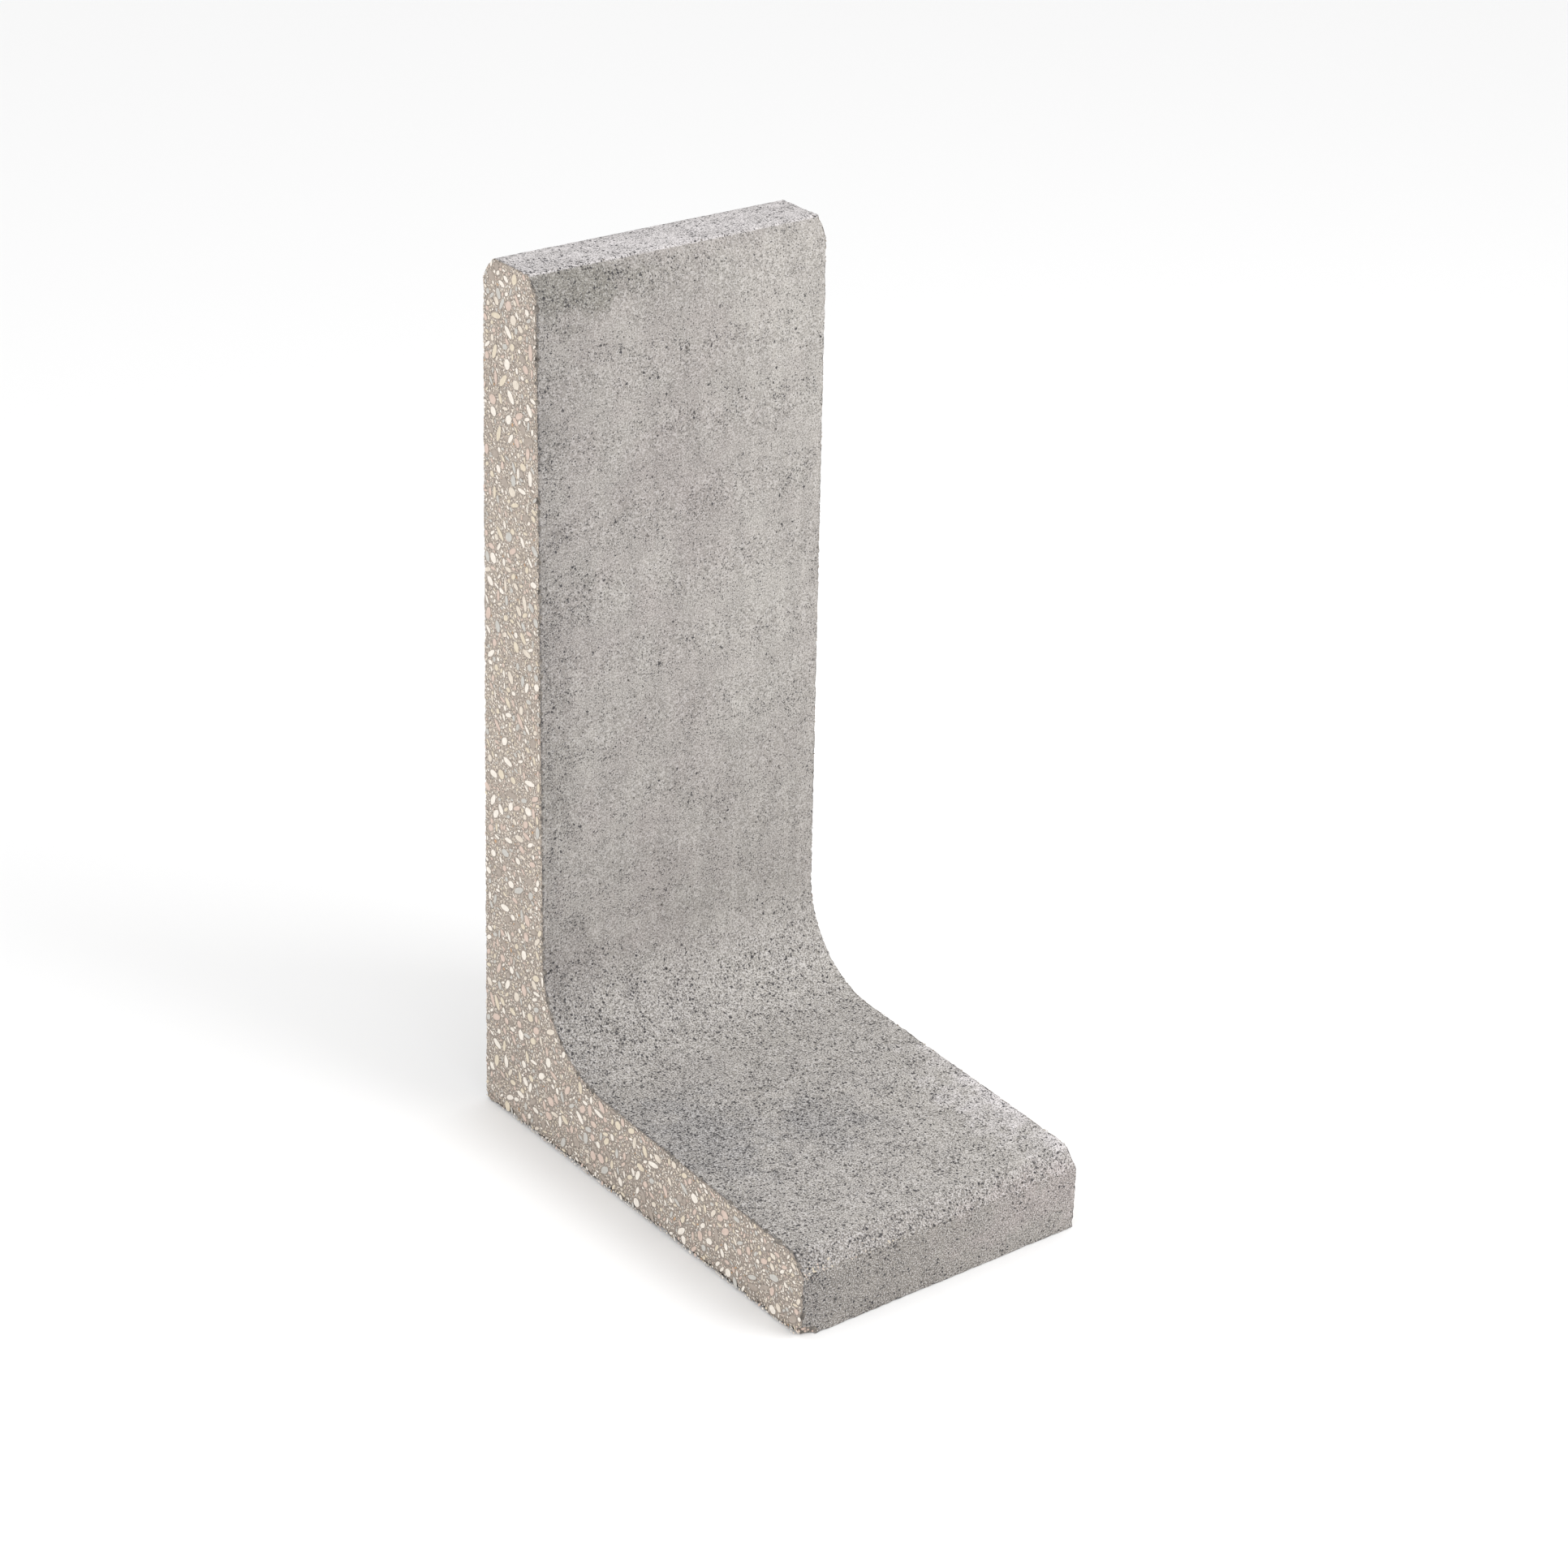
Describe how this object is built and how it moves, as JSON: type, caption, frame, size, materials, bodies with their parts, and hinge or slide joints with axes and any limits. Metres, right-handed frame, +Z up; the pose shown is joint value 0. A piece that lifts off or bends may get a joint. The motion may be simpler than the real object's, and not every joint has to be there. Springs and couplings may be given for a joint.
{
  "type": "retaining wall element",
  "caption": "Precast concrete L-shaped retaining wall element: a flat stem on a foot with a rounded inside corner, cast round its steel cage and spacers.",
  "frame": {"origin": "middle of the underside's bounding box, on the ground", "axes": "+X along the wall, +Y out of the stem's back face, away from the foot, +Z up the stem"},
  "size_m": [0.39, 0.615, 1.05],
  "materials": {
    "concrete": "cast grey concrete, matt, with pits; the end faces are ground and show pebbles",
    "steel": "ribbed reinforcing steel with thin brown rust",
    "spacer": "matt fibre-concrete"
  },
  "bodies": {
    "root": {"concrete_body": "concrete", "stem_hairpin_1": "steel", "stem_hairpin_2": "steel", "stem_hairpin_3": "steel", "foot_hairpin_1": "steel", "foot_hairpin_2": "steel", "foot_hairpin_3": "steel", "haunch_bar_1": "steel", "haunch_bar_2": "steel", "haunch_bar_3": "steel", "top_cap_bar_1": "steel", "top_cap_bar_2": "steel", "top_cap_bar_3": "steel", "toe_cap_bar_1": "steel", "toe_cap_bar_2": "steel", "toe_cap_bar_3": "steel", "stem_inside_cross_bar_1": "steel", "stem_inside_cross_bar_2": "steel", "stem_inside_cross_bar_3": "steel", "stem_inside_cross_bar_4": "steel", "stem_inside_cross_bar_5": "steel", "stem_inside_cross_bar_6": "steel", "stem_back_cross_bar_1": "steel", "stem_back_cross_bar_2": "steel", "stem_back_cross_bar_3": "steel", "stem_back_cross_bar_4": "steel", "stem_back_cross_bar_5": "steel", "stem_back_cross_bar_6": "steel", "foot_top_cross_bar_1": "steel", "foot_top_cross_bar_2": "steel", "foot_top_cross_bar_3": "steel", "foot_low_cross_bar_1": "steel", "foot_low_cross_bar_2": "steel", "foot_low_cross_bar_3": "steel", "corner_cross_bar_1": "steel", "corner_cross_bar_2": "steel", "back_spacer_1": "spacer", "back_spacer_2": "spacer", "back_spacer_3": "spacer", "back_spacer_4": "spacer", "underside_spacer_1": "spacer", "underside_spacer_2": "spacer", "underside_spacer_3": "spacer", "underside_spacer_4": "spacer"}
  },
  "joints": []
}
